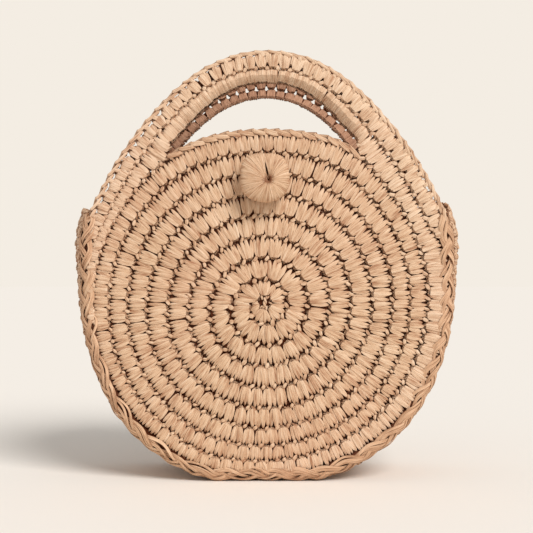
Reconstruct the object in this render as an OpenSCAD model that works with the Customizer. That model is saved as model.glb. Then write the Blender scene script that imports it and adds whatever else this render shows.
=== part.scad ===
// Round crocheted hand bag: two spiral panels whose last rounds arch up as handles, a side strip
// between them, a plaited lacing over each join and a wrapped button on the front.
// The bag stands on the ground at z = 0 with its front facing -Y.

/* [Body] */
// Width of the body across the lacings at its widest
body_w = 262; // [240:1:290]
// Height of the straight stretch at the widest part of the sides
side_h = 11; // [6:1:20]
// How far the round bottom is pressed flat where the bag stands
base_press = 2; // [1:0.5:4]
// Thickness of the crocheted fabric over the crown of a row
fabric_t = 8; // [6:0.5:10]
// Width of the side strip from one panel to the other
gusset_w = 70; // [50:1:100]
// Rows of crochet that run along the side strip
gusset_rows = 5; // [4:1:7]
// How far neighbouring rows sink into each other on each side
row_lap = 1.7; // [1.2:0.1:2.2]

/* [Panels] */
// Height of one round of the spiral
round_h = 13.6; // [11:0.1:16]
// Height of the spiral's centre above the ground
spiral_z = 122.8; // [116:0.1:130]
// Distance from the spiral's centre up to the edge of the mouth
mouth_r = 120.4; // [112:0.1:126]
// Height of the fold line above the centre of the shoulder curve
fold_rise = 47.5; // [42:0.5:54]
// How far each top swings outward to open the mouth, in degrees
open_deg = 35; // [20:1:40]
// Clear space round the roll of fabric at the fold
fold_gap = 0.35; // [0.3:0.05:0.6]

/* [Lacing] */
// Width of the plaited lacing, seen from the front
lacing_w = 10.5; // [9:0.5:13]
// How far the lacing stands proud of the panel's face
lacing_proud = 1.5; // [0.5:0.25:2.5]

/* [Handle] */
// Height of the top of the handles above the ground
bag_h = 295.5; // [285:0.5:305]
// Outer radius of the arch at its top
arch_r = 84; // [78:1:90]
// Outer radius of the long curve from the arch down to the shoulder
flank_r = 260; // [230:5:330]
// Width of the handle band
handle_w = 22; // [20:0.5:26]
// Height of each of the two rounds in the handle band
handle_row_h = 9.6; // [8.5:0.1:10]
// How far the foot of the handle stands in from the body's outline
foot_inset = 2.5; // [1:0.5:6]
// Thickness of the chain of stitches along the free edges
chain_d = 5; // [4:0.5:6]

/* [Button] */
// Diameter of the wrapped button
button_d = 34; // [28:1:38]
// Thickness of the wrapped button
button_t = 15; // [13:0.5:18]
// Thickness of the raffia wound over the core
wrap_t = 3.2; // [3:0.1:4]
// Depth of the dimple where the raffia meets in the middle
dimple_depth = 2; // [1:0.25:3]
// Radius that the dimple is hollowed to
dimple_r = 6; // [4:0.5:8]
// Clear space between the core and the raffia round it
core_gap = 0.1; // [0.05:0.05:0.2]
// Distance from the edge of the mouth down to the middle of the button
button_drop = 34.5; // [28:0.5:40]
// Distance of the button from the middle of the bag
button_x = -1.5; // [-6:0.5:6]
// Gap between the back of the button and the panel
button_gap = 2.4; // [2.3:0.1:4]
// Diameter of the thread shank that holds the button
shank_d = 3.4; // [2.6:0.2:4]
// Diameter of the round end of the shank, which the button tilts on
seat_d = 4.4; // [4:0.1:4.6]
// Running clearance round the shank
shank_gap = 0.1; // [0.05:0.01:0.15]
// Diameter of the knot inside the bag
knot_d = 11; // [8:0.5:14]
// Thickness of the knot inside the bag
knot_t = 2; // [1.5:0.25:3]

/* [Hidden] */
$fn = 96;

straw = [0.85, 0.67, 0.49];
straw_shade = [0.78, 0.59, 0.41];
wood = [0.87, 0.76, 0.60];

// How round the lacing is, as a share of its width
lacing_round_share = 0.69;
// How far the handle's curves run on past the fold before they are cut off there
overrun = 2;

body_r = body_w / 2;
low_z = body_r - base_press;
high_z = low_z + side_h;
fold_z = high_z + fold_rise;
panel_r = body_r - lacing_w;
panel_y = (gusset_w + fabric_t) / 2;
roll_r = fabric_t / 2;

// The lower fabric stops short enough below the fold to let the tops swing
panel_top = fold_z - roll_r * tan(open_deg) - fold_gap;
lacing_top = fold_z - (roll_r + lacing_proud) * tan(open_deg) - fold_gap;
shoulder_deg = asin((lacing_top - high_z) / body_r);

// The spiral is worked as half rounds about two centres, half a round apart. Seen from the front it
// grows anticlockwise, by one round along its left half.
left_z = spiral_z - round_h / 2;
rounds = ceil(norm([body_r, fold_z - spiral_z]) / round_h);
spiral_run = rounds * round_h;

// The long curve of the handle touches the arch inside and ends at the foot
arch_z = bag_h - arch_r;
foot_x = sqrt(pow(body_r, 2) - pow(fold_rise, 2)) - foot_inset;
foot_run = norm([foot_x, fold_z - arch_z]);
foot_way = [foot_x, fold_z - arch_z] / foot_run;
centre_run = flank_r - arch_r;
centre_along = (pow(centre_run, 2) - pow(flank_r, 2) + pow(foot_run, 2)) / (2 * foot_run);
centre_across = sqrt(pow(centre_run, 2) - pow(centre_along, 2));
flank_x = centre_along * foot_way[0] + centre_across * foot_way[1];
flank_z = arch_z + centre_along * foot_way[1] - centre_across * foot_way[0];
join_deg = atan2(arch_z - flank_z, -flank_x);
foot_deg = asin((fold_z - flank_z - overrun) / flank_r);

button_z = spiral_z + mouth_r - button_drop;
button_back = fabric_t / 2 + button_gap;
core_r = button_d / 2 - wrap_t;
core_t = button_t - dimple_depth - 2 * wrap_t;

// Cross section of one row, thickest in the middle
module row_section(row_h) {
    half_w = row_h / 2 + row_lap;
    bow_r = (pow(half_w, 2) + pow(fabric_t / 2, 2)) / fabric_t;
    intersection() {
        translate([0, bow_r - fabric_t / 2]) circle(bow_r);
        translate([0, fabric_t / 2 - bow_r]) circle(bow_r);
    }
}

// Turns a profile about a centre in the panel's plane, with the profile's y towards the front
module turn_upright(centre_x, centre_z, start_deg, sweep_deg) {
    translate([centre_x, 0, centre_z]) rotate([90, 0, 0])
        rotate_extrude(angle = sweep_deg, start = start_deg) children();
}

// Carries a profile from the left shoulder round the bottom to the right shoulder
module run_round() {
    turn_upright(0, low_z, 180, 180) children();
    for (side = [0, 1]) mirror([side, 0, 0]) {
        translate([0, 0, low_z]) linear_extrude(side_h) mirror([0, 1]) children();
        turn_upright(0, high_z, 0, shoulder_deg) children();
    }
}

module above(cut_z) {
    intersection() {
        children();
        translate([-body_w, -body_w, cut_z]) cube([2 * body_w, 2 * body_w, bag_h]);
    }
}

module below(cut_z) {
    intersection() {
        children();
        translate([-body_w, -body_w, cut_z - bag_h]) cube([2 * body_w, 2 * body_w, bag_h]);
    }
}

// A flat outline in the panel's plane, made thicker than the fabric
module through_fabric() {
    translate([0, fabric_t, 0]) rotate([90, 0, 0]) linear_extrude(2 * fabric_t) children();
}

// The spiral sheet, larger than any panel cut from it
module spiral_sheet() {
    turn_upright(0, spiral_z, -90, 180) intersection() {
        for (i = [1:rounds]) translate([(i - 0.5) * round_h, 0]) row_section(round_h);
        translate([0, -fabric_t]) square([spiral_run, 2 * fabric_t]);
    }
    turn_upright(0, left_z, 90, 180) intersection() {
        for (i = [0:rounds]) translate([i * round_h, 0]) row_section(round_h);
        translate([0, -fabric_t]) square([spiral_run, 2 * fabric_t]);
    }
}

module panel_outline() {
    translate([0, low_z]) circle(panel_r);
    translate([0, high_z]) circle(panel_r);
    translate([-panel_r, low_z]) square([2 * panel_r, side_h]);
}

// The round fabric below the fold, hollowed along its top edge for the roll
module panel() {
    color(straw) difference() {
        below(panel_top) intersection() {
            spiral_sheet();
            through_fabric() panel_outline();
        }
        translate([-body_r, 0, fold_z]) rotate([0, 90, 0])
            cylinder(r = roll_r + fold_gap, h = body_w);
    }
}

// Everything between the inner edges of the handle's two long curves
module between_flanks() {
    intersection_for (side = [-1, 1]) translate([side * flank_x, flank_z]) circle(flank_r - handle_w);
}

// The top of the panel, from the roll at the fold up to the chain along the mouth
module flap() {
    bead_r = mouth_r - chain_d / 2;
    color(straw) {
        above(fold_z) intersection() {
            union() {
                intersection() {
                    spiral_sheet();
                    through_fabric() translate([0, spiral_z]) circle(bead_r);
                }
                turn_upright(0, spiral_z, 0, 180) translate([bead_r, 0]) circle(d = chain_d);
            }
            through_fabric() between_flanks();
        }
        below(fold_z) translate([-foot_x, 0, fold_z]) rotate([0, 90, 0])
            cylinder(r = roll_r, h = 2 * foot_x);
    }
}

// Two rounds side by side and the chain along their outer edge, measured inward from that edge
module band_section() {
    intersection() {
        for (i = [0.5, 1.5]) translate([i * handle_row_h - handle_w, 0]) row_section(handle_row_h);
        translate([-handle_w, -fabric_t]) square([handle_w, 2 * fabric_t]);
    }
    translate([-chain_d / 2, 0]) circle(d = chain_d);
}

// One side of the handle, with the arch and the long curve both turned from where they meet
module half_band() {
    intersection() {
        translate([0, 0, arch_z]) rotate([0, -join_deg, 0]) {
            turn_upright(0, 0, 0, 90) translate([arch_r, 0]) band_section();
            turn_upright(-centre_run, 0, foot_deg - join_deg, join_deg - foot_deg)
                translate([flank_r, 0]) band_section();
        }
        translate([0, -fabric_t, fold_z]) cube([body_w, 2 * fabric_t, bag_h]);
    }
}

// The last rounds, which leave the panel at the shoulders and arch over the finger opening
module handle() {
    color(straw) for (side = [0, 1]) mirror([side, 0, 0]) half_band();
}

// The side strip, with its rows running along it
module gusset() {
    strip_row_h = gusset_w / gusset_rows;
    color(straw) above(0) run_round() intersection() {
        for (i = [0.5:gusset_rows])
            translate([body_r - fabric_t / 2, i * strip_row_h - gusset_w / 2]) rotate(90)
                row_section(strip_row_h);
        translate([body_r - 2 * fabric_t, -gusset_w / 2]) square([3 * fabric_t, gusset_w]);
    }
}

// The plaited lacing, which fills the corner between a panel's edge and the strip's edge
module lacing() {
    lacing_r = lacing_w * lacing_round_share;
    color(straw_shade) above(0) run_round() intersection() {
        translate([body_r - lacing_r, gusset_w / 2 + fabric_t + lacing_proud - lacing_r])
            circle(lacing_r);
        translate([panel_r, gusset_w / 2]) square(2 * lacing_w);
    }
}

// Half the profile of a disc with a fully rounded rim, lying across the y axis
module pill_section(pill_r, pill_t) {
    intersection() {
        union() {
            translate([pill_r - pill_t / 2, 0]) circle(pill_t / 2);
            translate([0, -pill_t / 2]) square([pill_r - pill_t / 2, pill_t]);
        }
        translate([0, -pill_t]) square([pill_r, 2 * pill_t]);
    }
}

// Turns a profile about the button's axis, with y counted forward from the middle of the fabric
module on_button_axis() {
    turn_upright(button_x, button_z, 0, 360) children();
}

// The thread: a knot inside the bag, a shank through the fabric and a round end in the button
module button_shank() {
    color(straw_shade) on_button_axis() {
        translate([0, -(fabric_t + knot_t) / 2]) pill_section(knot_d / 2, knot_t);
        translate([0, -fabric_t / 2]) square([shank_d / 2, fabric_t / 2 + button_back]);
        intersection() {
            translate([0, button_back]) circle(d = seat_d);
            translate([0, button_back - seat_d]) square(2 * seat_d);
        }
    }
}

module button_core() {
    color(wood) on_button_axis() translate([0, button_back + wrap_t + core_t / 2])
        pill_section(core_r, core_t);
}

// The wound raffia: a shell round the core, dimpled in front and seated on the shank behind
module button_cover() {
    color(straw) on_button_axis() difference() {
        translate([0, button_back + button_t / 2]) pill_section(button_d / 2, button_t);
        translate([0, button_back + button_t - dimple_depth + dimple_r]) circle(dimple_r);
        translate([0, button_back + wrap_t + core_t / 2])
            pill_section(core_r + core_gap, core_t + 2 * core_gap);
        translate([0, button_back]) circle(seat_d / 2 + shank_gap);
    }
}

module front() {
    translate([0, -panel_y, 0]) children();
}

// The back is worked the same way and turned about, so it looks the same from its own side
module back() {
    rotate([0, 0, 180]) front() children();
}

module front_flap() {
    difference() {
        flap();
        on_button_axis() translate([0, -fabric_t]) square([shank_d / 2 + shank_gap, 2 * fabric_t]);
    }
}

front() panel();  // front_panel
back() panel();  // back_panel
gusset();
lacing();  // front_lacing
rotate([0, 0, 180]) lacing();  // back_lacing
front() front_flap();
back() flap();  // back_flap
front() handle();  // front_handle
back() handle();  // back_handle
front() button_shank();
front() button_core();
front() button_cover();
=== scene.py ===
import math

import bmesh
import bpy
import numpy as np
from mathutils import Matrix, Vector


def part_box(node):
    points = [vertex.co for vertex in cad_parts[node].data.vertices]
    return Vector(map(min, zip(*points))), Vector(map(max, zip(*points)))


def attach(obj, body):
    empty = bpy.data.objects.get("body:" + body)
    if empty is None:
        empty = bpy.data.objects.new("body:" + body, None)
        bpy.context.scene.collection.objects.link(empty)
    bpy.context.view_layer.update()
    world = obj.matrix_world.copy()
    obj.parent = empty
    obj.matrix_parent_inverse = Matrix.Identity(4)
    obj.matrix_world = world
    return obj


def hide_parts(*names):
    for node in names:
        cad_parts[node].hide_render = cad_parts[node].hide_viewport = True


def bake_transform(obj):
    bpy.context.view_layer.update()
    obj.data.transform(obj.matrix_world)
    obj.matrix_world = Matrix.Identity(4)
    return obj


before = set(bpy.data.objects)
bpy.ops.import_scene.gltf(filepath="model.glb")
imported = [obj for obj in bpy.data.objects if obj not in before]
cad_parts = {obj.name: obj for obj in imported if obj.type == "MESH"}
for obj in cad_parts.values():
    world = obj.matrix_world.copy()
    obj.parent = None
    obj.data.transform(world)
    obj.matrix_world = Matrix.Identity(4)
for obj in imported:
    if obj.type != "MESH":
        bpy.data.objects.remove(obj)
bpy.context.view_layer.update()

# A round raffia hand bag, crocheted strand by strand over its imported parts.
# Lengths are in millimetres, and become metres where a mesh is made.
# A row of crochet is placed by (along, across, out): along the row, across it from its older edge to
# its newer one, and out of the fabric from the middle of its thickness.
MM = 0.001
TURN = 2 * math.pi
HALF_TURN = math.pi
draw = np.random.default_rng(11)


def box_mm(node):
    """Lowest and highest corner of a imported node, in millimetres."""
    low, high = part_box(node)
    return np.array(low) / MM, np.array(high) / MM


def smooth_step(value, low, high):
    """From 0 at low to 1 at high. With high below low it falls as the value grows."""
    share = np.clip((value - low) / (high - low), 0, 1)
    return share * share * (3 - 2 * share)


def unit(vectors):
    return vectors / np.maximum(np.linalg.norm(vectors, axis=-1, keepdims=True), 1e-9)


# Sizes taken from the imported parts
lacing_low, lacing_high = box_mm("front_lacing")
gusset_low, gusset_high = box_mm("gusset")
panel_low, panel_high = box_mm("front_panel")
handle_high = box_mm("front_handle")[1]
button_low, button_high = box_mm("button_cover")

BODY_R = (lacing_high[0] - lacing_low[0]) / 2
PANEL_Y = -(panel_low[1] + panel_high[1]) / 2
FABRIC_T = panel_high[1] - panel_low[1]
GUSSET_W = gusset_high[1] - gusset_low[1]
LACING_TOP = lacing_high[2]
BAG_H = handle_high[2]
BUTTON = (button_low + button_high) / 2
BUTTON_R = (button_high[0] - button_low[0]) / 2
BUTTON_FRONT = -button_low[1]
BUTTON_BACK = -button_high[1]

# The body's outline: two half rounds with a short straight side between them
LOW_Z = 129.0
HIGH_Z = 140.0

# The handle's outline: an arch over the middle and a long flat curve down each side
ARCH_R = 84.0
ARCH_Z = BAG_H - ARCH_R
FLANK_R = 260.0
FLANK_X = -117.27
FLANK_Z = 80.26
FLANK_END_Z = 165.0
HANDLE_X = 0.4
# The curve swells a little, rising and falling again over these stretches of the outline
FLANK_SWELL = 1.4
SWELL_RISES = (35, 85)
SWELL_FALLS = (205, 165)

# The spiral's centre, the height of a round, and how much the outer rounds are drawn in
SPIRAL_X = -1.6
SPIRAL_Z = 122.8
ROUND_H = 14.6
TALLER_UP = 0.2
ROUNDS = 8
EVEN_ROUNDS = 4.9
DRAWN_IN = 0.55
DRAWN_IN_UP = -0.2
DRAWN_IN_LEFT = -0.08
# The rounds after the sixth swell toward the corners of the finger opening and toward the lacing low at
# the left: how much, and in which direction
CORNER_SWELLS = ((1.5, math.radians(27)), (4.8, math.radians(-28)), (2.6, math.radians(157)))
SWELL_WITHIN = 0.034
SWELL_AFTER = 6
FIRST_ANGLE = 0.5 * HALF_TURN
EYE_R = 3.4

# Width of a stitch in the side strip and the edge of the mouth, and in the handles
STITCH = 8.6
HANDLE_STITCH = 9.0
# The disc's stitches are wide near its middle, and come down to this width further out
STITCH_FAR_OUT = 8.0
WIDER_AT_MIDDLE = 12.8
WIDER_WITHIN = 22.0
WIDEST_SHARE = 1.1
STRAND_T = 1.75
# How much a strand's round section is squared up, across its width and its thickness
FLAT_SIDES = 0.85
FLAT_TOP = 0.72


def spiral_edge(angle):
    """Distance of the spiral's outer edge from its centre. The angle grows anticlockwise from the top."""
    turned = np.mod(angle, TURN)
    climb = np.where(turned < HALF_TURN, (1 - np.cos(turned)) / 2, 1.0)
    rounds = np.floor(angle / TURN) + climb
    height = ROUND_H + TALLER_UP * np.cos(turned)
    drawn_in = DRAWN_IN + DRAWN_IN_UP * np.cos(turned) + DRAWN_IN_LEFT * np.sin(turned)
    edge = height * rounds - drawn_in * np.maximum(rounds - EVEN_ROUNDS, 0) ** 2
    for swell, direction in CORNER_SWELLS:
        near = np.exp((np.cos(turned - direction) - 1) / SWELL_WITHIN)
        edge = edge + swell * near * np.clip((rounds - SWELL_AFTER) / 2, 0, 1)
    return edge


def on_spiral(angle, across, out):
    inner = np.where(angle < FIRST_ANGLE + TURN, EYE_R, spiral_edge(angle - TURN))
    radius = inner + across * (spiral_edge(angle) - inner)
    x = SPIRAL_X - np.sin(angle) * radius
    z = SPIRAL_Z + np.cos(angle) * radius
    return np.stack(np.broadcast_arrays(x, -PANEL_Y - out, z), -1)


def disc_edge(angle):
    """Outer edge of the last full round, by direction."""
    turned = np.mod(angle, TURN)
    last = np.where(turned < HALF_TURN, ROUNDS, ROUNDS - 1)
    return spiral_edge(turned + TURN * last)


ARCH_TILT = math.acos((FLANK_Z - ARCH_Z) / (ARCH_R - FLANK_R))
ARCH_RUN = ARCH_R * ARCH_TILT
FLANK_START = HALF_TURN / 2 - ARCH_TILT
FLANK_END = math.asin((FLANK_END_Z - FLANK_Z) / FLANK_R)
FLANK_RUN = FLANK_R * (FLANK_START - FLANK_END)
ROUND_START = math.asin((FLANK_END_Z - HIGH_Z) / BODY_R)
ROUND_RUN = BODY_R * ROUND_START
SIDE_RUN = HIGH_Z - LOW_Z


def outline(run):
    """Point and outward direction of the whole outline, by the distance from the top, plus to the right."""
    way = np.abs(run)
    arch = way / ARCH_R
    flank = FLANK_START - (way - ARCH_RUN) / FLANK_R
    high = ROUND_START - (way - ARCH_RUN - FLANK_RUN) / BODY_R
    side = way - ARCH_RUN - FLANK_RUN - ROUND_RUN
    low = -(side - SIDE_RUN) / BODY_R
    stretches = [way < ARCH_RUN, way < ARCH_RUN + FLANK_RUN, high > 0, side < SIDE_RUN]
    tilt = np.select(stretches, [HALF_TURN / 2 - arch, flank, high, 0 * way], low)
    radius = np.select(stretches[:2], [ARCH_R, FLANK_R], BODY_R)
    centre_x = np.select(stretches[:2], [0, FLANK_X], 0)
    centre_z = np.select(stretches, [ARCH_Z, FLANK_Z, HIGH_Z, HIGH_Z - side], LOW_Z)
    hand = np.where(run < 0, -1, 1)
    radius = radius + FLANK_SWELL * smooth_step(way, *SWELL_RISES) * smooth_step(way, *SWELL_FALLS)
    x = hand * (centre_x + radius * np.cos(tilt)) + HANDLE_X
    z = centre_z + radius * np.sin(tilt)
    return x, z, hand * np.cos(tilt), np.sin(tilt)


# Depth of a handle's layers below its outer edge: at the top, then at the left and right corners. The
# depth at the top holds for a short way to each side.
LEVEL_RUN = 20
CORNER_RUN = 105.0
CHAIN_DEPTH = (2.8, 4.7, 4.4)
MIDDLE_DEPTH = {"front": (12.4, 12.4, 15.2), "back": (15.5, 16.4, 15.0)}
INNER_DEPTH = {"front": (20.8, 23.4, 25.0), "back": (22.0, 23.2, 21.6)}
# The outer round narrows to this below the corners
LOW_MIDDLE_DEPTH = 6.5
LOW_MIDDLE_RUN = (CORNER_RUN + 60, CORNER_RUN + 115)
# Where the opening starts to close toward its left and right corner, how much and over what length
CLOSES_AT = {"front": (99.0, 94.0), "back": (93.0, 99.0)}
CLOSES_BY = 14
CLOSES_WITHIN = 18
# A row that runs out under the lacing keeps this height
LEAST_ROW = 5.0
# The handle's inner edge rolls back to the inside, and lies flat again by the corners
ROLL = 5.6
ROLL_SHARE = 0.72
ROLL_RUN = (CORNER_RUN, CORNER_RUN - 25)
# The depth of the disc below the outline is found step by step from a first guess
FIRST_DEPTH = 15.0
DEPTH_STEPS = 12


def layer_depth(run, depths):
    corner = np.where(run < 0, depths[1], depths[2])
    return depths[0] + (corner - depths[0]) * smooth_step(np.abs(run), LEVEL_RUN, CORNER_RUN)


def chain_depth(run):
    return layer_depth(run, CHAIN_DEPTH)


def middle_depth(run, side):
    opened = layer_depth(run, MIDDLE_DEPTH[side])
    lower = smooth_step(np.abs(run), *LOW_MIDDLE_RUN)
    return opened + (LOW_MIDDLE_DEPTH - opened) * lower


def disc_depth(run):
    """Distance from the outline inward to the last full round of the disc."""
    x, z, out_x, out_z = outline(run)
    depth = np.full(np.shape(run), FIRST_DEPTH)
    for _ in range(DEPTH_STEPS):
        away_x = x - out_x * depth - SPIRAL_X
        away_z = z - out_z * depth - SPIRAL_Z
        angle = np.arctan2(-away_x, away_z)
        depth = depth + np.hypot(away_x, away_z) - disc_edge(angle)
    return depth


def band_depth(run, side):
    """Distance from the outline inward to the handle's inner edge, or to the disc where they meet."""
    start = np.where(run < 0, CLOSES_AT[side][0], CLOSES_AT[side][1])
    closing = CLOSES_BY * smooth_step(np.abs(run), start, start + CLOSES_WITHIN)
    opened = layer_depth(run, INNER_DEPTH[side]) + closing
    return np.maximum(np.minimum(opened, disc_depth(run)), middle_depth(run, side) + LEAST_ROW)


def on_outline(run, depth, out):
    x, z, out_x, out_z = outline(run)
    return np.stack(np.broadcast_arrays(x - out_x * depth, -PANEL_Y - out, z - out_z * depth), -1)


def on_inner_round(side):
    """Placing function of the handle's inner round, whose lower part rolls back over the opening."""

    def place(run, across, out):
        inner = band_depth(run, side)
        rolled = np.maximum(1 - across / ROLL_SHARE, 0) ** 2
        roll = ROLL * rolled * smooth_step(np.abs(run), *ROLL_RUN)
        return on_outline(run, inner + across * (middle_depth(run, side) - inner), out - roll)

    return place


def on_outer_round(side):
    """Placing function of the handle's outer round."""

    def place(run, across, out):
        inner = middle_depth(run, side)
        return on_outline(run, inner + across * (chain_depth(run) - inner), out)

    return place


# The side strip and the lacing follow the body's own outline, from the left shoulder to the right
SHOULDER = math.asin((LACING_TOP - HIGH_Z) / BODY_R)
BODY_RUN = 2 * BODY_R * SHOULDER + 2 * SIDE_RUN + BODY_R * HALF_TURN


# The soft body is fuller low down at the sides, and flatter at mid height, than a round one. It is full
# again by this tilt above.
FULLNESS = 2.0
FULL_TILT = 0.28
# More of it beside the bottom, at the left and at the right, between these stretches of tilt
LOW_FULLNESS = (2.4, 1.4)
LOW_FULL_BELOW = (-0.3, -0.8)
LOW_FULL_ABOVE = (-1.56, -1.2)


def body_rim(run):
    """Point and outward direction of the body's outline. The run is 0 at the bottom, plus to the right."""
    way = np.abs(run)
    quarter = BODY_R * HALF_TURN / 2
    above = np.maximum(way - quarter - SIDE_RUN, 0) / BODY_R
    tilt = np.where(way < quarter, way / BODY_R - HALF_TURN / 2, above)
    rise = np.clip(way - quarter, 0, SIDE_RUN)
    hand = np.where(run < 0, -1, 1)
    full_above = FULLNESS * (2 * smooth_step(tilt, 0, FULL_TILT) - 1)
    full = np.where(tilt < 0, -FULLNESS * np.cos(3 * tilt), full_above)
    low = smooth_step(tilt, *LOW_FULL_BELOW) * smooth_step(tilt, *LOW_FULL_ABOVE)
    radius = BODY_R + full + low * np.where(run < 0, LOW_FULLNESS[0], LOW_FULLNESS[1])
    x = hand * radius * np.cos(tilt)
    z = LOW_Z + rise + radius * np.sin(tilt)
    return x, np.maximum(z, 0), hand * np.cos(tilt), np.sin(tilt)


# The side strip bulges along its middle, more and more between these heights
BULGE = 7.0
BULGE_RISES = (50, 165)
GUSSET_ROWS = 5
# Height of a chain along an edge, and how far the strip's own starts below the shoulder
EDGE_CHAIN = 3.6
STRIP_END_INSET = 1.5


def strip_lift(y, z, out):
    """How far a place on the side strip lies outside the body's outline."""
    return out - FABRIC_T / 2 + BULGE * smooth_step(z, *BULGE_RISES) * (1 - (2 * y / GUSSET_W) ** 2)


def on_gusset(row):
    """Placing function of one row of the side strip."""

    def place(run, across, out):
        x, z, out_x, out_z = body_rim(run)
        y = GUSSET_W * ((row + across) / GUSSET_ROWS - 0.5)
        lift = strip_lift(y, z, out)
        return np.stack([x + out_x * lift, y, z + out_z * lift], -1)

    return place


def on_strip_end(hand):
    """The chain that closes the top of the strip at one shoulder, from the front to the back."""

    def place(y, across, out):
        run = hand * (BODY_RUN / 2 - STRIP_END_INSET + EDGE_CHAIN * across)
        x, z, out_x, out_z = body_rim(run + 0 * y)
        lift = strip_lift(y, z, out)
        return np.stack(np.broadcast_arrays(x + out_x * lift, y, z + out_z * lift), -1)

    return place


# The rounded corner under the lacing: its radius, where its middle lies, and where across starts on it
CORNER_R = 6.4
CORNER_IN = 7.8
CORNER_FACE = 36.4
CORNER_TILT = math.radians(40)


def on_corner(run, across, out):
    """Place on the rounded corner between the front panel and the strip. Across goes from front to side."""
    x, z, out_x, out_z = body_rim(run)
    tilt = CORNER_TILT + across / CORNER_R
    reach = -CORNER_IN + (CORNER_R + out) * np.sin(tilt)
    y = -CORNER_FACE - (CORNER_R + out) * np.cos(tilt)
    return np.stack([x + out_x * reach, y, z + out_z * reach], -1)


# Edges bent more than this show as a fold line along the strand
FOLD_LINE = math.radians(32)
# Each strand has its own place in the fibre pattern, anywhere within this length
FIBRE_SPREAD = 900


def straight_strand(rings, sides):
    """A straight closed strand along Z, with a ring of corners at every whole number."""
    bm = bmesh.new()
    bmesh.ops.create_cone(bm, cap_ends=True, segments=sides, radius1=1, radius2=1, depth=rings - 1)
    lengthwise = [e for e in bm.edges if abs(e.verts[0].co.z - e.verts[1].co.z) > 0.5]
    bmesh.ops.subdivide_edges(bm, edges=lengthwise, cuts=rings - 2)
    bmesh.ops.translate(bm, verts=bm.verts, vec=(0, 0, (rings - 1) / 2))
    mesh = bpy.data.meshes.new("strand")
    bm.to_mesh(mesh)
    bm.free()
    return mesh


def repeated(mesh, count):
    """So many copies of a mesh in one, one after the other and all in the same place."""
    holder = bpy.data.objects.new("copies", mesh)
    bpy.context.scene.collection.objects.link(holder)
    copies = holder.modifiers.new("copies", "ARRAY")
    copies.use_relative_offset = False
    copies.count = count
    graph = bpy.context.evaluated_depsgraph_get()
    many = bpy.data.meshes.new_from_object(holder.evaluated_get(graph))
    bpy.data.objects.remove(holder)
    return many


def lay_strands(name, strands, material, about_turned=False, sides=6):
    """Bends a straight strand along each route, and joins them all in one piece.

    strands holds route and front, both (count, rings, 3), and width and thick, both (count, rings).
    """
    route, front, width, thick = (np.concatenate(part) for part in zip(*strands))
    count, rings = width.shape
    straight = straight_strand(rings, sides)
    own = np.zeros(len(straight.vertices) * 3)
    straight.vertices.foreach_get("co", own)
    own = own.reshape(-1, 3)
    ring = np.rint(own[:, 2]).astype(int)
    many = repeated(straight, count)
    ahead = unit(np.gradient(route, axis=1))
    side = unit(np.cross(front, ahead))
    up = np.cross(ahead, side)
    sideways = np.sign(own[:, 0]) * np.abs(own[:, 0]) ** FLAT_SIDES * width[:, ring] / 2
    upward = np.sign(own[:, 1]) * np.abs(own[:, 1]) ** FLAT_TOP * thick[:, ring] / 2
    at_end = (ring == 0) | (ring == rings - 1)
    # Highest at a strand's sides and ends, where the raffia paints shade and browner edges.
    border = np.broadcast_to(np.where(at_end, 1, np.abs(own[:, 0])), sideways.shape)
    points = route[:, ring] + side[:, ring] * sideways[..., None] + up[:, ring] * upward[..., None]
    if about_turned:
        points = points * (-1, -1, 1)
    many.vertices.foreach_set("co", (points * MM).astype(np.float32).ravel())
    steps = np.linalg.norm(np.diff(route, axis=1), axis=-1)
    lengthwise = np.concatenate([np.zeros((count, 1)), np.cumsum(steps, axis=1)], axis=1)[:, ring]
    fibre = np.stack([sideways, upward, lengthwise], -1) + draw.uniform(0, FIBRE_SPREAD, (count, 1, 3))
    tone = np.broadcast_to(draw.uniform(0, 1, (count, 1)), sideways.shape)
    many.attributes.new("fibre", "FLOAT_VECTOR", "POINT")
    many.attributes["fibre"].data.foreach_set("vector", (fibre * MM).astype(np.float32).ravel())
    for attribute, values in (("tone", tone), ("border", border)):
        many.attributes.new(attribute, "FLOAT", "POINT")
        many.attributes[attribute].data.foreach_set("value", values.astype(np.float32).ravel())
    many.shade_smooth()
    many.set_sharp_from_angle(angle=FOLD_LINE)
    many.materials.append(material)
    many.name = name
    piece = bpy.data.objects.new(name, many)
    bpy.context.scene.collection.objects.link(piece)
    bpy.data.meshes.remove(straight)
    return piece


# One strand of a stitch, from where it comes up between the rows to its end under the next row. Shares of
# its reach, its height, its width with a pointed or a blunt tip, its sideways drift and its thickness,
# ring by ring.
REACH_SHARES = np.array([0.08, -0.01, 0.07, 0.28, 0.55, 0.78, 0.92, 1.0])
HEIGHT_SHARES = np.array([0.05, 0.6, 0.93, 1.0, 0.95, 0.8, 0.5, 0.1])
POINTED = np.array([0.5, 0.74, 0.88, 1.0, 0.94, 0.62, 0.34, 0.12])
BLUNT = np.array([0.5, 0.78, 0.92, 1.0, 1.0, 0.94, 0.72, 0.3])
DRIFT_SHARES = np.array([0.0, 0.0, 0.16, 0.5, 0.8, 0.95, 1.0, 1.0])
THICK_SHARES = np.array([0.7, 0.9, 1.0, 1.0, 1.0, 0.95, 0.8, 0.4])
LEAST_WIDTH = 0.6
MOST_WIDTH = 5.0

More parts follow.
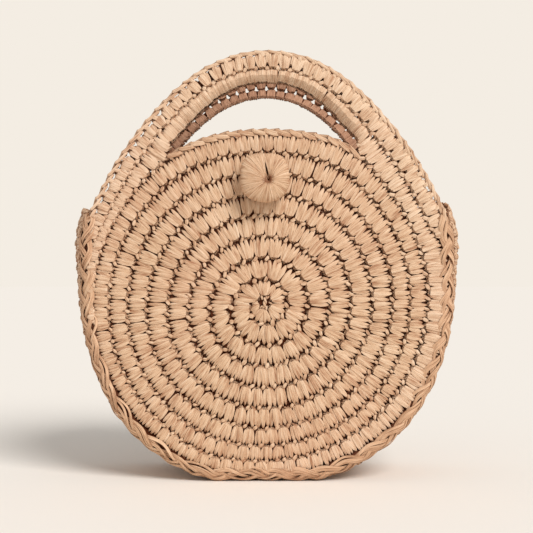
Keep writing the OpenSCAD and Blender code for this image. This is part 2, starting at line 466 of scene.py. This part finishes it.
# Stitches as lists of strands: (start along, end along, start across, end across, width, crown), with
# along and width in stitches, across in row heights, and the crown in millimetres
KNOB = (0.64, 0.4, -0.02, 0.19, 0.34, 2.6)
LOW_KNOB = (0.6, 0.4, -0.04, 0.18, 0.36, 2.6)
FOUR_FINGERS = (
    (-0.23, -0.41, 0.15, 1.0, 0.39, 3.0),
    (-0.08, -0.13, 0.08, 1.08, 0.4, 3.4),
    (0.08, 0.14, 0.08, 1.06, 0.4, 3.3),
    (0.23, 0.41, 0.15, 0.99, 0.39, 3.0),
    KNOB,
)
THREE_FINGERS = (
    (-0.2, -0.38, 0.14, 1.01, 0.49, 3.0),
    (0.0, 0.01, 0.07, 1.1, 0.54, 3.5),
    (0.2, 0.38, 0.14, 1.0, 0.49, 3.1),
    KNOB,
)
FIVE_FINGERS = (
    (-0.27, -0.43, 0.17, 0.94, 0.34, 2.9),
    (-0.13, -0.22, 0.11, 1.02, 0.35, 3.3),
    (0.0, 0.0, 0.08, 1.07, 0.36, 3.5),
    (0.13, 0.22, 0.11, 1.02, 0.35, 3.3),
    (0.27, 0.43, 0.17, 0.95, 0.34, 2.9),
    LOW_KNOB,
)
POSTS = (
    (-0.3, -0.27, 0.02, 0.96, 0.44, 3.3),
    (-0.04, -0.01, 0.0, 1.0, 0.46, 3.5),
    (0.22, 0.24, 0.02, 0.97, 0.44, 3.4),
    (0.46, 0.45, 0.05, 0.86, 0.32, 3.0),
)
SATIN = (
    (-0.4, -0.38, 0.0, 0.96, 0.32, 3.3),
    (-0.2, -0.18, 0.0, 0.99, 0.34, 3.4),
    (0.0, 0.01, 0.0, 1.0, 0.34, 3.5),
    (0.2, 0.21, 0.0, 0.99, 0.34, 3.4),
    (0.4, 0.41, 0.0, 0.96, 0.32, 3.3),
)
BLOCK = (
    (-0.16, -0.34, 0.08, 0.98, 0.4, 3.1),
    (-0.03, -0.05, 0.05, 1.16, 0.48, 3.5),
    (0.15, 0.32, 0.08, 1.0, 0.42, 3.3),
    KNOB,
)
CLOSED_BLOCK = (
    (-0.17, -0.34, 0.08, 1.12, 0.41, 3.1),
    (-0.03, 0.0, 0.05, 1.08, 0.48, 3.5),
    (0.16, 0.34, 0.08, 1.15, 0.42, 3.3),
    (0.47, 0.47, 0.4, 1.2, 0.36, 2.8),
    KNOB,
)
LOOSE_POSTS = (
    (-0.36, -0.24, 0.0, 0.97, 0.42, 3.0),
    (-0.14, -0.08, 0.0, 1.0, 0.42, 3.3),
    (0.1, 0.1, 0.0, 1.0, 0.42, 3.2),
    (0.36, 0.26, 0.0, 0.97, 0.42, 3.0),
)
LOOSE_BLOCK = (
    (-0.21, -0.34, 0.06, 0.98, 0.42, 3.1),
    (-0.01, -0.03, 0.03, 1.16, 0.48, 3.5),
    (0.2, 0.33, 0.06, 1.0, 0.43, 3.3),
)
REVERSE = (
    (-0.23, -0.17, 0.03, 0.98, 0.52, 3.2),
    (0.2, 0.17, 0.03, 0.98, 0.52, 3.2),
)


# Stitches are counted along this line across a row, and lengths measured over this small step
COUNT_LINE = 0.6
SMALL = 0.01


def row_speed(place, here):
    """Millimetres of row for each unit of the row's own measure."""
    gap = place(here + SMALL, COUNT_LINE, 0.0) - place(here - SMALL, COUNT_LINE, 0.0)
    return np.linalg.norm(gap) / (2 * SMALL)


def even_stitches(place, here):
    return STITCH / row_speed(place, here)


def disc_stitches(place, here):
    away = np.linalg.norm(place(here, COUNT_LINE, 0.0) - (SPIRAL_X, -PANEL_Y, SPIRAL_Z))
    width = STITCH_FAR_OUT + WIDER_AT_MIDDLE * math.exp(-away / WIDER_WITHIN)
    return min(width, WIDEST_SHARE * away) / row_speed(place, here)


def matched_stitches(place, here):
    """The handle's rows have their stitches one above the other."""
    return HANDLE_STITCH


def stitch_cells(place, start, end, stitch):
    """Middle and width of each stitch of a row, in the row's own measure of length."""
    middles = []
    widths = []
    heading = 1 if end > start else -1
    here = start
    while (end - here) * heading > 0:
        width = heading * stitch(place, here)
        middles.append(here + width / 2)
        widths.append(width)
        here += width
    return middles, widths


# How unevenly the stitches are worked, in the units of the patterns. A whole stitch leans and sinks, and
# each of its strands strays on its own.
STITCH_LEAN = 0.06
STITCH_SINK = 0.025
START_STRAY = (0.015, 0.012)
END_STRAY = (0.03, 0.04)
WIDTH_RANGE = (0.88, 1.12)
CROWN_STRAY = 0.2


def work_row(place, start, end, patterns, outward=1, stitch=even_stitches, tips=POINTED):
    """Strands for one row of stitches, with a pattern drawn for each stitch."""
    rows = []
    middles, widths = stitch_cells(place, start, end, stitch)
    for middle, cell in zip(middles, widths):
        pattern = patterns[draw.integers(len(patterns))]
        lean = draw.normal(0, STITCH_LEAN)
        sink = draw.normal(0, STITCH_SINK)
        for start_u, end_u, start_v, end_v, width, crown in pattern:
            rows.append((
                middle,
                cell,
                start_u + draw.normal(0, START_STRAY[0]),
                end_u + lean + draw.normal(0, END_STRAY[0]),
                start_v + sink + draw.normal(0, START_STRAY[1]),
                end_v + draw.normal(0, END_STRAY[1]),
                width * draw.uniform(*WIDTH_RANGE),
                crown + draw.normal(0, CROWN_STRAY),
            ))
    middle, cell, start_u, end_u, start_v, end_v, width, crown = np.array(rows).T[:, :, None]
    along = middle + cell * (start_u + (end_u - start_u) * DRIFT_SHARES)
    across = start_v + (end_v - start_v) * REACH_SHARES
    height = crown * HEIGHT_SHARES * outward
    route = place(along, across, height)
    front = unit(place(along, across, height + outward) - route)
    beside = place(along + cell * SMALL, across, height)
    cell_here = np.linalg.norm(beside - route, axis=-1) / SMALL
    wide = np.clip(cell_here * width * tips, LEAST_WIDTH, MOST_WIDTH)
    return route, front, wide, STRAND_T * THICK_SHARES + 0 * along


def lay_cord(place, start, end, spacing, share, thick, across=0.5, out=0):
    """One long flat strand along the inside of a row, as wide as a share of the row's height."""
    count = max(3, int(abs(end - start) / spacing))
    along = np.linspace(start, end, count)[None, :]
    none = 0 * along
    route = place(along, across + none, out + none)
    front = unit(place(along, across + none, out + 1 + none) - route)
    height = np.linalg.norm(place(along, 1 + none, none) - place(along, none, none), axis=-1)
    return route, front, height * share, np.full(along.shape, thick)


def add_node(tree, kind, inputs=None, **settings):
    node = tree.nodes.new("ShaderNode" + kind)
    for key, value in settings.items():
        setattr(node, key, value)
    for key, value in (inputs or {}).items():
        if isinstance(value, bpy.types.NodeSocket):
            tree.links.new(value, node.inputs[key])
        else:
            node.inputs[key].default_value = value
    return node


def linear(red, green, blue):
    """A colour as a screen shows it, 0 to 255, turned into the linear colour that a shader takes."""
    shares = [value / 255 for value in (red, green, blue)]
    return [s / 12.92 if s <= 0.04045 else ((s + 0.055) / 1.055) ** 2.4 for s in shares] + [1]


def colour_ramp(tree, factor, stops):
    ramp = add_node(tree, "ValToRGB", {"Fac": factor})
    points = ramp.color_ramp.elements
    while len(points) < len(stops):
        points.new(0.5)
    for point, (place, colour) in zip(points, stops):
        point.position = place
        point.color = colour
    return ramp.outputs["Color"]


# How much the fine fibre lines, the broader streaks and a strand's own tone count in its colour
FIBRE_SHARE = 0.62
STREAK_SHARE = 0.42
TONE_SHARE = 0.09
ALL_DARKER = 0.08
# Patches of the bag are a little warmer
WARM = linear(206, 146, 118)


def raffia(name, dark, middle, light, rough=0.62):
    """Flat paper-like strands: fine fibre lines along each one, and each strand a tone of its own.

    Colours are as a screen shows them; the dark one paints shade and browner edges on strand borders and
    ends.
    """
    dark, middle, light = linear(*dark), linear(*middle), linear(*light)
    material = bpy.data.materials.new(name)
    material.use_nodes = True
    tree = material.node_tree
    shader = tree.nodes["Principled BSDF"]
    fibre = add_node(tree, "Attribute", attribute_name="fibre").outputs["Vector"]
    tone = add_node(tree, "Attribute", attribute_name="tone").outputs["Fac"]
    border = add_node(tree, "Attribute", attribute_name="border").outputs["Fac"]
    place = add_node(tree, "TexCoord").outputs["Object"]
    lines = add_node(tree, "Mapping", {"Vector": fibre, "Scale": (1, 1, 0.03)}).outputs["Vector"]
    fine = add_node(
        tree, "TexNoise", {"Vector": lines, "Scale": 2100, "Detail": 3, "Roughness": 0.65}
    ).outputs[0]
    patches = add_node(tree, "Mapping", {"Vector": fibre, "Scale": (1, 1, 0.25)}).outputs["Vector"]
    broad = add_node(tree, "TexNoise", {"Vector": patches, "Scale": 420, "Detail": 2}).outputs[0]
    wide = add_node(tree, "TexNoise", {"Vector": place, "Scale": 14, "Detail": 2}).outputs[0]
    mixed = -ALL_DARKER
    for value, share in ((fine, FIBRE_SHARE), (broad, STREAK_SHARE), (tone, TONE_SHARE)):
        parts = {0: value, 1: share, 2: mixed}
        mixed = add_node(tree, "Math", parts, operation="MULTIPLY_ADD").outputs[0]
    colour = colour_ramp(tree, mixed, [(0.24, dark), (0.48, middle), (0.72, light)])
    warm = add_node(
        tree, "MapRange", {"Value": wide, "From Min": 0.35, "From Max": 0.7, "To Max": 0.16}
    ).outputs[0]
    # Painted shade where strands meet and tuck under the next row, and partly their own browner edges.
    brown_edges_and_shade = add_node(tree, "MapRange", {"Value": border, "From Min": 0.72, "To Max": 0.78}).outputs[0]
    for factor, over in ((warm, WARM), (brown_edges_and_shade, dark)):
        layers = {"Fac": factor, "Color1": colour, "Color2": over}
        colour = add_node(tree, "MixRGB", layers).outputs["Color"]
    tree.links.new(colour, shader.inputs["Base Color"])
    bump = add_node(tree, "Bump", {"Height": fine, "Strength": 0.8, "Distance": 0.0007})
    bump = add_node(
        tree, "Bump", {"Height": broad, "Strength": 0.55, "Distance": 0.0012, "Normal": bump.outputs[0]}
    )
    tree.links.new(bump.outputs[0], shader.inputs["Normal"])
    shader.inputs["Roughness"].default_value = rough
    shader.inputs["Specular IOR Level"].default_value = 0.14
    return material


straw = raffia("raffia", (134, 64, 16), (216, 179, 144), (243, 214, 184))
handle_straw = raffia("handle_raffia", (148, 86, 42), (224, 190, 157), (248, 221, 193))
# A darker copy of the raffia for the inside faces: painted shade.
inner_face_shaded_straw = raffia("raffia_inner_face_painted_shade", (120, 78, 56), (178, 134, 106), (206, 166, 136), 0.7)
laced_straw = raffia("lacing_raffia", (128, 80, 48), (214, 173, 137), (244, 210, 176))
thread = raffia("thread", (156, 112, 78), (204, 164, 130), (222, 186, 152), 0.7)
# Dark raffia for the cores, the eye's backing, the lacing's core and the button's solid: painted shade,
# seen in the gaps between strands.
shaded_straw = raffia("raffia_inside", (62, 23, 2), (80, 33, 4), (100, 45, 8), 0.8)


def bend_at_fold(piece):
    """Bakes the fabric piece's placing into its mesh."""
    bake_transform(piece)


# The last round of the disc runs on a little past the end of the handle's, so that no notch is left
SPIRAL_LAP = 0.03
SPIRAL_END = TURN * ROUNDS + HALF_TURN + SPIRAL_LAP
# Where the panel's piece gives way to the flap's, and the wide stitches to narrower ones
SPIRAL_MIDDLE = TURN * 5
SPIRAL_WIDE = TURN * 3.5
# Stretches of the handle's two rounds, by the distance from the top of the outline, plus to the right
LOW_START = HANDLE_STITCH * 48
LOW_END = -HANDLE_STITCH * 28
ARCH_END = HANDLE_STITCH * 11
OPEN_END = HANDLE_STITCH * 16
OUTER_END = HANDLE_STITCH * 21
RIM_END = HANDLE_STITCH * 20
# Strands that lie flat inside the rows: thickness, and width in row heights, in a row that has other rows
# on both sides and in one that lies along an opening. The steps between their rings are an angle on the
# spiral and a length elsewhere.
CORE_THICK = 2.6
CORE_WIDE = 1.08
CORE_NARROW = 0.66
SPIRAL_STEP = 0.06
CORE_STEP = 4
# The mouth's chain runs along the disc between these directions
MOUTH_LEFT = math.radians(33)
MOUTH_RIGHT = math.radians(-33)


def on_rim(run, across, out):
    """The chain along the outer edge of the handle, from the last round to the very edge."""
    return on_outline(run, chain_depth(run) * (1 - across), out)


def on_mouth(angle, across, out):
    """The chain along the disc's edge between the corners of the finger opening."""
    radius = disc_edge(angle) + across * EDGE_CHAIN
    x = SPIRAL_X - np.sin(angle) * radius
    z = SPIRAL_Z + np.cos(angle) * radius
    return np.stack(np.broadcast_arrays(x, -PANEL_Y - out, z), -1)


# Links of an edge chain, as (start along, end along, start across, end across, width, crown)
RIM_LINKS = (
    (-0.6, 0.55, 0.35, 1.0, 0.26, 2.6),
    (-0.2, -0.1, -0.35, 0.7, 0.34, 2.8),
)
RIM_LINKS_BEHIND = (
    (-0.5, 0.6, 1.0, 0.35, 0.26, 2.6),
    (0.2, 0.1, -0.35, 0.7, 0.34, 2.8),
)
MOUTH_LINKS = (
    (-0.62, 0.58, 0.05, 0.98, 0.4, 3.3),
    (-0.25, -0.1, -0.3, 0.6, 0.36, 2.6),
)
MOUTH_LINKS_BEHIND = (
    (-0.58, 0.62, 0.98, 0.05, 0.4, 3.3),
    (0.25, 0.1, -0.3, 0.6, 0.36, 2.6),
)

# Stitches over the arch: the inner round at the left and right, then the outer round. Those of the back
# handle leave small holes between its two rounds.
HANDLE_PATTERNS = {
    "front": (POSTS, SATIN, BLOCK, CLOSED_BLOCK),
    "back": (LOOSE_POSTS, LOOSE_POSTS, LOOSE_BLOCK, LOOSE_BLOCK),
}

# The twist in the eye: turns and length to each side of its middle, how far its strands wind sideways and
# in depth, how far it stands out and dips at its ends, where its middle lies and how far its ends lean
TWIST_TURNS = 0.8
TWIST_HALF = 5.2
TWIST_WIDE = 0.7
TWIST_DEEP = 0.6
TWIST_OUT = 2.2
TWIST_DIP = 2.4
TWIST_X = SPIRAL_X + 0.2
TWIST_LEAN = 0.6
TWIST_RINGS = 16
# Width and thickness of a strand twisted or wound tightly
THREAD = (1.5, 1.2)


def flat_strand(route, width, thick):
    """A strand along one route in the panel's own plane, with its flat side to the front."""
    front = np.broadcast_to((0.0, -1.0, 0.0), route.shape)
    return route, front, np.full(route.shape[:2], width), np.full(route.shape[:2], thick)


def centre_strand(turn):
    """One of two strands twisted together down the middle of the eye."""
    along = np.linspace(-1, 1, TWIST_RINGS)
    wind = turn + TURN * TWIST_TURNS * along
    x = TWIST_X + TWIST_WIDE * np.cos(wind) + TWIST_LEAN * along
    out = TWIST_OUT - TWIST_DIP * along ** 4 + TWIST_DEEP * np.sin(wind)
    route = np.stack([x, -PANEL_Y - out, SPIRAL_Z + TWIST_HALF * along], -1)[None]
    return flat_strand(route, *THREAD)


def straw_of(name):
    """The raffia of a piece of the panel and handle, by its name."""
    # Inside faces take the darker copy of the raffia, which paints shade on them.
    if name.endswith("inside"):
        return inner_face_shaded_straw
    return handle_straw if "handle" in name else straw


def panel_and_handle(side):
    """The spiral disc and the two rounds that leave it as a handle, with their inside faces."""
    turned = side == "back"
    tulips = (FOUR_FINGERS, THREE_FINGERS)
    wide_tulips = (FIVE_FINGERS, FIVE_FINGERS, FOUR_FINGERS)
    spiral = {"stitch": disc_stitches}
    matched = {"stitch": matched_stitches, "tips": BLUNT}
    below = {"stitch": matched_stitches}
    left_posts, right_posts, left_block, right_block = HANDLE_PATTERNS[side]
    inner_round = on_inner_round(side)
    outer_round = on_outer_round(side)
    parts = {
        "rounds_inner": [
            work_row(on_spiral, FIRST_ANGLE, SPIRAL_WIDE, wide_tulips, **spiral),
            work_row(on_spiral, SPIRAL_WIDE, SPIRAL_MIDDLE, tulips, **spiral),
        ],
        "centre_twist": [centre_strand(0), centre_strand(HALF_TURN)],
        "rounds_outer": [work_row(on_spiral, SPIRAL_MIDDLE, SPIRAL_END, tulips, **spiral)],
        "rounds_inside": [work_row(on_spiral, FIRST_ANGLE, SPIRAL_END, (REVERSE,), -1, **spiral)],
        "handle_rounds": [
            work_row(inner_round, LOW_START, ARCH_END, tulips, **below),
            work_row(inner_round, ARCH_END, 0, (right_posts,), **matched),
            work_row(inner_round, 0, -ARCH_END, (left_posts,), **matched),
            work_row(inner_round, -ARCH_END, LOW_END, tulips, **below),
            work_row(outer_round, OUTER_END, OPEN_END, (BLOCK, THREE_FINGERS), **matched),
            work_row(outer_round, OPEN_END, 0, (right_block,), **matched),
            work_row(outer_round, 0, -ARCH_END, (left_block,), **matched),
            work_row(outer_round, -ARCH_END, -OUTER_END, (BLOCK, THREE_FINGERS), **matched),
        ],
        "handle_inside": [
            work_row(inner_round, LOW_START, ARCH_END, (REVERSE,), -1, **matched),
            work_row(inner_round, ARCH_END, -ARCH_END, (LOOSE_POSTS,), -1, **matched),
            work_row(inner_round, -ARCH_END, LOW_END, (REVERSE,), -1, **matched),
            work_row(outer_round, OUTER_END, -OUTER_END, (LOOSE_BLOCK,), -1, **matched),
        ],
        "handle_chain": [
            work_row(on_rim, RIM_END, -RIM_END, (RIM_LINKS,), **matched),
            work_row(on_rim, RIM_END, -RIM_END, (RIM_LINKS_BEHIND,), -1, **matched),
        ],
        "mouth_chain": [
            work_row(on_mouth, MOUTH_RIGHT, MOUTH_LEFT, (MOUTH_LINKS,)),
            work_row(on_mouth, MOUTH_RIGHT, MOUTH_LEFT, (MOUTH_LINKS_BEHIND,), -1),
        ],
    }
    pieces = {}
    for name, part in parts.items():
        pieces[name] = lay_strands(side + "_" + name, part, straw_of(name), turned)
    cores = {
        "rounds_core": (on_spiral, FIRST_ANGLE, SPIRAL_END, SPIRAL_STEP, CORE_WIDE),
        "inner_round_core": (inner_round, LOW_START, LOW_END, CORE_STEP, CORE_NARROW),
        "outer_round_core": (outer_round, OUTER_END, -OUTER_END, CORE_STEP, CORE_NARROW),
    }
    # The cores take the dark raffia: painted shade showing between the stitches.
    for name, route in cores.items():
        core = [lay_cord(*route, CORE_THICK)]
        pieces[name] = lay_strands(side + "_" + name, core, shaded_straw, turned)
    for piece in pieces.values():
        bend_at_fold(piece)
    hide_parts(side + "_panel")
    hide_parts(side + "_flap")
    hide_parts(side + "_handle")


# The lacing: three cords of three flat ribbons each, plaited round the corner. The sign of the rise says
# which way the cords on top lean.
PLAIT_LENGTH = 52.0
PLAIT_SWING = 4.2
PLAIT_RISE = -0.8
PLAIT_RINGS = 420
# Width and thickness of a ribbon, and the distance between ribbons of a cord
RIBBON = (2.25, 0.7)
RIBBON_APART = 1.75
# The plait is wider toward the shoulders, and again up the right side below the shoulder
SHOULDER_SWING = 1.4
SHOULDER_FROM = (BODY_RUN / 2 - 110, BODY_RUN / 2 - 40)
RIGHT_SWING = 1.1
RIGHT_FROM = (60, 160)
# Each ribbon wanders sideways in two waves, rises in one and changes its width in one: size and length
WANDER = ((0.6, 6.1), (0.8, 15.0))
RISE_WAVE = (0.35, 11.0)
WIDTH_WAVE = (0.2, 9.0)
# The round core that the plait lies on, and the step between its rings
LACING_CORE = 9.0
LACING_STEP = 6


def wave(run, size_and_length, shift):
    """A wave along a run."""
    size, length = size_and_length
    return size * np.sin(run / length + shift)


def lacing(side):
    half = BODY_RUN / 2
    run = np.linspace(-half, half, PLAIT_RINGS)
    below_shoulder = smooth_step(run, *SHOULDER_FROM[::-1])
    swing = PLAIT_SWING + SHOULDER_SWING * smooth_step(np.abs(run), *SHOULDER_FROM)
    swing = swing + RIGHT_SWING * smooth_step(run, *RIGHT_FROM) * below_shoulder
    strands = []
    for cord in range(3):
        turn = TURN * (run / PLAIT_LENGTH + cord / 3)
        slope = swing * np.cos(turn) * TURN / PLAIT_LENGTH
        for ribbon in (-1, 0, 1):
            shift = RIBBON_APART * ribbon / np.hypot(1, slope)
            strays = draw.uniform(0, TURN, 3)
            wander = wave(run, WANDER[0], strays[0]) + wave(run, WANDER[1], strays[1])
            along = (run - slope * shift)[None, :]
            across = (swing * np.sin(turn) + shift + wander)[None, :]
            out = (PLAIT_RISE * np.sin(2 * turn) + wave(run, RISE_WAVE, strays[2]))[None, :]
            route = on_corner(along, across, out)
            front = unit(on_corner(along, across, out + 1) - route)
            wide = RIBBON[0] * (1 + wave(run, WIDTH_WAVE, strays[1] + strays[2]))[None, :]
            strands.append((route, front, wide, np.full(along.shape, RIBBON[1])))
    plait = lay_strands(side + "_lacing_plait", strands, laced_straw, side == "back")
    inside = {"across": 0.0, "out": -CORNER_R}
    route, front, _, thick = lay_cord(on_corner, -half, half, LACING_STEP, 1, LACING_CORE, **inside)
    core = [(route, front, thick, thick)]
    # The core takes the dark raffia: painted shade showing between the ribbons.
    core = lay_strands(side + "_lacing_core", core, shaded_straw, side == "back", sides=10)
    for piece in (plait, core):
        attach(piece, "bag_body")
    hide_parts(side + "_lacing")


# The chain at each end of the strip keeps this far from its front and back edge
STRIP_CHAIN = (3 - GUSSET_W / 2, GUSSET_W / 2 - 7)
STRIP_STEP = 5


def gusset():
    half = BODY_RUN / 2
    tulips = (FOUR_FINGERS, THREE_FINGERS)
    places = [on_gusset(row) for row in range(GUSSET_ROWS)]
    rows = [work_row(place, -half, half, tulips) for place in places]
    inside = [work_row(place, -half, half, (REVERSE,), -1) for place in places]
    cores = [lay_cord(place, -half, half, STRIP_STEP, CORE_WIDE, CORE_THICK) for place in places]
    for hand in (-1, 1):
        end = on_strip_end(hand)
        rows.append(work_row(end, *STRIP_CHAIN, (MOUTH_LINKS,), hand))
        inside.append(work_row(end, *STRIP_CHAIN, (MOUTH_LINKS_BEHIND,), -hand))
    faces = lay_strands("gusset_rows", rows, straw)
    lay_inside = lay_strands("gusset_inside", inside, straw)
    # The cores take the dark raffia: painted shade showing between the stitches.
    core = lay_strands("gusset_core", cores, shaded_straw)
    for piece in (faces, lay_inside, core):
        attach(piece, "bag_body")
    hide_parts("gusset")


# The button: strands of raffia wound from its dimple out over the rim and in again behind. The winding
# lies a little lower than the solid, is a little larger, and is squarish, most of all above.
WINDS = 120
WIND_RINGS = 16
BUTTON_LOWER = 1.0
BUTTON_FULL = 1.04
SQUARENESS = 0.045
SQUARER_ABOVE = 0.5
# Powers that make the profile fuller than a round one, outward and forward
FULL_RIM = 0.72
FULL_FACE = 0.8
# Depth and reach of the dimple, and where it lies beside the button's middle
DIMPLE = (4.4, 2.0)
DIMPLE_X = 2.7
DIMPLE_Z = -2.0
# The crease runs up from the dimple, where two strands part: its direction, the distances from the middle
# where it ends and is deepest, its width and depth, how far the strands part, and how sharply
CREASE_TURN = math.radians(94)
CREASE_REACH = 15.0
CREASE_START = 2
CREASE_WIDE = 2.4
CREASE_DEEP = 1.2
CREASE_GAP = 1.2
CREASE_EDGE = 0.1
# Share of the way from the front's middle to the back's where a strand starts and ends
WIND_START = 0.004
WIND_END = 0.86
# Random spreads of the strands: round the button, of their start, of their sway and of their height
WIND_STRAY = 0.012
WIND_START_STRAY = 0.02
WIND_SWAY = 0.016
WIND_RISE = 0.16
# A strand's width in distances between strands, which count at most this many times their median
WIND_WIDE = (2.0, 2.6)
WIND_APART_MOST = 1.2
WIND_WIDE_LEAST = 0.5


def on_button(angle, share, out):
    """A soft squarish dome. The angle is 0 to the right and grows anticlockwise.

    The share is 0 at the middle of the front and 1 at the middle of the back.
    """
    tilt = share * HALF_TURN
    squared = BUTTON_FULL - SQUARENESS * np.cos(4 * angle) * (1 + SQUARER_ABOVE * np.sin(angle))
    radius = (BUTTON_R - STRAND_T / 2 + out) * squared * np.abs(np.sin(tilt)) ** FULL_RIM
    half_depth = (BUTTON_FRONT - BUTTON_BACK) / 2 - STRAND_T / 2 + out
    depth = half_depth * np.sign(np.cos(tilt)) * np.abs(np.cos(tilt)) ** FULL_FACE
    facing = np.cos(tilt) > 0
    depth = depth - facing * DIMPLE[0] * np.exp(-((radius / DIMPLE[1]) ** 2))
    beside = radius * (np.mod(angle - CREASE_TURN + HALF_TURN, TURN) - HALF_TURN)
    near = np.exp(-((beside / CREASE_WIDE) ** 2)) * facing
    near = near * smooth_step(radius, CREASE_REACH, CREASE_START)
    angle = angle + CREASE_GAP * near * np.tanh(beside / CREASE_EDGE) / np.maximum(radius, 1)
    depth = depth - CREASE_DEEP * near * smooth_step(radius, 0, CREASE_START)
    middle = (1 - radius / BUTTON_R) * facing
    x = BUTTON[0] + radius * np.cos(angle) + DIMPLE_X * middle
    z = BUTTON[2] - BUTTON_LOWER + radius * np.sin(angle) + DIMPLE_Z * middle
    return np.stack(np.broadcast_arrays(x, BUTTON[1] - depth, z), -1)


def button():
    turn = np.arange(WINDS)[:, None] * TURN / WINDS
    turn = turn + draw.normal(0, WIND_STRAY, (WINDS, 1))
    share = np.linspace(WIND_START, WIND_END, WIND_RINGS)[None, :] + 0 * turn
    share[:, 0] += draw.uniform(0, WIND_START_STRAY, WINDS)
    turn = turn + draw.normal(0, WIND_SWAY, (WINDS, 1)) * np.sin(share * TURN)
    out = draw.normal(0, WIND_RISE, (WINDS, 1)) * np.sin(share * HALF_TURN)
    route = on_button(turn, share, out)
    front = unit(on_button(turn, share, out + 1) - route)
    apart = np.linalg.norm(on_button(turn + TURN / WINDS, share, out) - route, axis=-1)
    apart = np.minimum(apart, WIND_APART_MOST * np.median(apart, axis=0))
    wide = np.maximum(apart * draw.uniform(*WIND_WIDE, (WINDS, 1)), WIND_WIDE_LEAST)
    wrap = lay_strands("button_wrap", [(route, front, wide, np.full(wide.shape, THREAD[1]))], straw)
    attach(wrap, "button")
    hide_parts("button_cover")
    # The solid under the winding takes the dark raffia: painted shade between the wound strands.
    bpy.data.objects["button_core"].material_slots[0].material = shaded_straw


# The thread winds this far from the middle of its shank, and opens out to the knot inside the panel
THREAD_R = 1.0
KNOT_WIDER = 3.6
KNOT_FROM = (-34.5, -33.0)
THREAD_STRANDS = 4
# How far each strand winds round the shank, in radians
THREAD_WIND = 4
THREAD_RINGS = 24


def button_thread():
    """Strands of thread from the button through the panel, opening out to the knot inside it."""
    shank_low, shank_high = box_mm("button_shank")
    middle_z = (shank_low[2] + shank_high[2]) / 2
    wind = np.linspace(0, 1, THREAD_RINGS)[None, :]
    turn = np.arange(THREAD_STRANDS)[:, None] * TURN / THREAD_STRANDS + wind * THREAD_WIND
    y = shank_high[1] + (shank_low[1] - shank_high[1]) * wind + 0 * turn
    radius = THREAD_R + KNOT_WIDER * smooth_step(y, *KNOT_FROM)
    route = np.stack([BUTTON[0] + radius * np.cos(turn), y, middle_z + radius * np.sin(turn)], -1)
    front = unit(route - np.stack([BUTTON[0] + 0 * y, y, middle_z + 0 * y], -1))
    strands = [(route, front, np.full(y.shape, THREAD[0]), np.full(y.shape, THREAD[1]))]
    loops = lay_strands("button_thread", strands, thread)
    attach(loops, "front_top")
    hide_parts("button_shank")


# Width, thickness and half the length of the loop behind the eye
BACKING = (9.0, 1.2)
BACKING_HALF = 5
BACKING_RINGS = 8


def eye_backing(side):
    """The first loop of raffia, lying flat behind the eye of the spiral, dark with painted shade."""
    along = np.linspace(-1, 1, BACKING_RINGS)
    x = SPIRAL_X + BACKING_HALF * along
    route = np.stack([x, -PANEL_Y + 0 * along, SPIRAL_Z + 0 * along], -1)[None]
    loop = [flat_strand(route, *BACKING)]
    piece = lay_strands(side + "_eye_backing", loop, shaded_straw, side == "back", sides=10)
    bend_at_fold(piece)


for side in ("front", "back"):
    panel_and_handle(side)
    lacing(side)
gusset()
button()
button_thread()
for side in ("front", "back"):
    eye_backing(side)

# Stage: a wide pale floor, whose far edge meets surroundings of the same colour
CREAM = linear(244, 237, 227)
PAPER = linear(243, 236, 227)
FLOOR_HALF = 8.0


def pale_floor():
    paper = bpy.data.materials.new("pale_paper")
    paper.use_nodes = True
    shader = paper.node_tree.nodes["Principled BSDF"]
    shader.inputs["Base Color"].default_value = PAPER
    shader.inputs["Roughness"].default_value = 1.0
    shader.inputs["Specular IOR Level"].default_value = 0.0
    bm = bmesh.new()
    bmesh.ops.create_grid(bm, x_segments=1, y_segments=1, size=FLOOR_HALF)
    mesh = bpy.data.meshes.new("floor")
    bm.to_mesh(mesh)
    bm.free()
    mesh.materials.append(paper)
    floor = bpy.data.objects.new("floor", mesh)
    bpy.context.scene.collection.objects.link(floor)


pale_floor()

# Light: an even pale surrounding and one soft lamp from the upper right, in front, with their strengths
AROUND = 0.5
KEY = 2.54
KEY_FROM = (0.42, -0.64, 0.64)
KEY_SOFTNESS = math.radians(28)


def light():
    world = bpy.data.worlds.new("studio")
    world.use_nodes = True
    tree = world.node_tree
    lit = tree.nodes["Background"]
    lit.inputs["Color"].default_value = (1, 1, 1, 1)
    lit.inputs["Strength"].default_value = AROUND
    seen = add_node(tree, "Background", {"Color": CREAM, "Strength": 1.0}).outputs[0]
    rays = add_node(tree, "LightPath").outputs
    direct = rays["Is Camera Ray"]
    for kind in ("Is Glossy Ray", "Is Transmission Ray"):
        direct = add_node(tree, "Math", {0: direct, 1: rays[kind]}, operation="MAXIMUM").outputs[0]
    mixed = add_node(tree, "MixShader", {0: direct, 1: lit.outputs[0], 2: seen}).outputs[0]
    tree.links.new(mixed, tree.nodes["World Output"].inputs["Surface"])
    bpy.context.scene.world = world
    lamp = bpy.data.lights.new("key", "SUN")
    lamp.energy = KEY
    lamp.angle = KEY_SOFTNESS
    key = bpy.data.objects.new("key", lamp)
    key.rotation_mode = "QUATERNION"
    key.rotation_quaternion = Vector(KEY_FROM).to_track_quat("Z", "Y")
    bpy.context.scene.collection.objects.link(key)


light()

# Camera at the photograph's place: level, square to the front, so that the frame is this wide there
FRAME_W = 364.6
CAMERA_AWAY = 840.0
CAMERA_X = -0.3
CAMERA_Z = 147.4
camera = bpy.data.objects.new("camera", bpy.data.cameras.new("camera"))
camera.data.lens = camera.data.sensor_width * CAMERA_AWAY / FRAME_W
camera_y = -PANEL_Y - FABRIC_T / 2 - CAMERA_AWAY
camera.location = (CAMERA_X * MM, camera_y * MM, CAMERA_Z * MM)
camera.rotation_euler = (math.radians(90), 0, 0)
bpy.context.scene.collection.objects.link(camera)
bpy.context.scene.camera = camera
bpy.context.scene.view_settings.view_transform = "Standard"
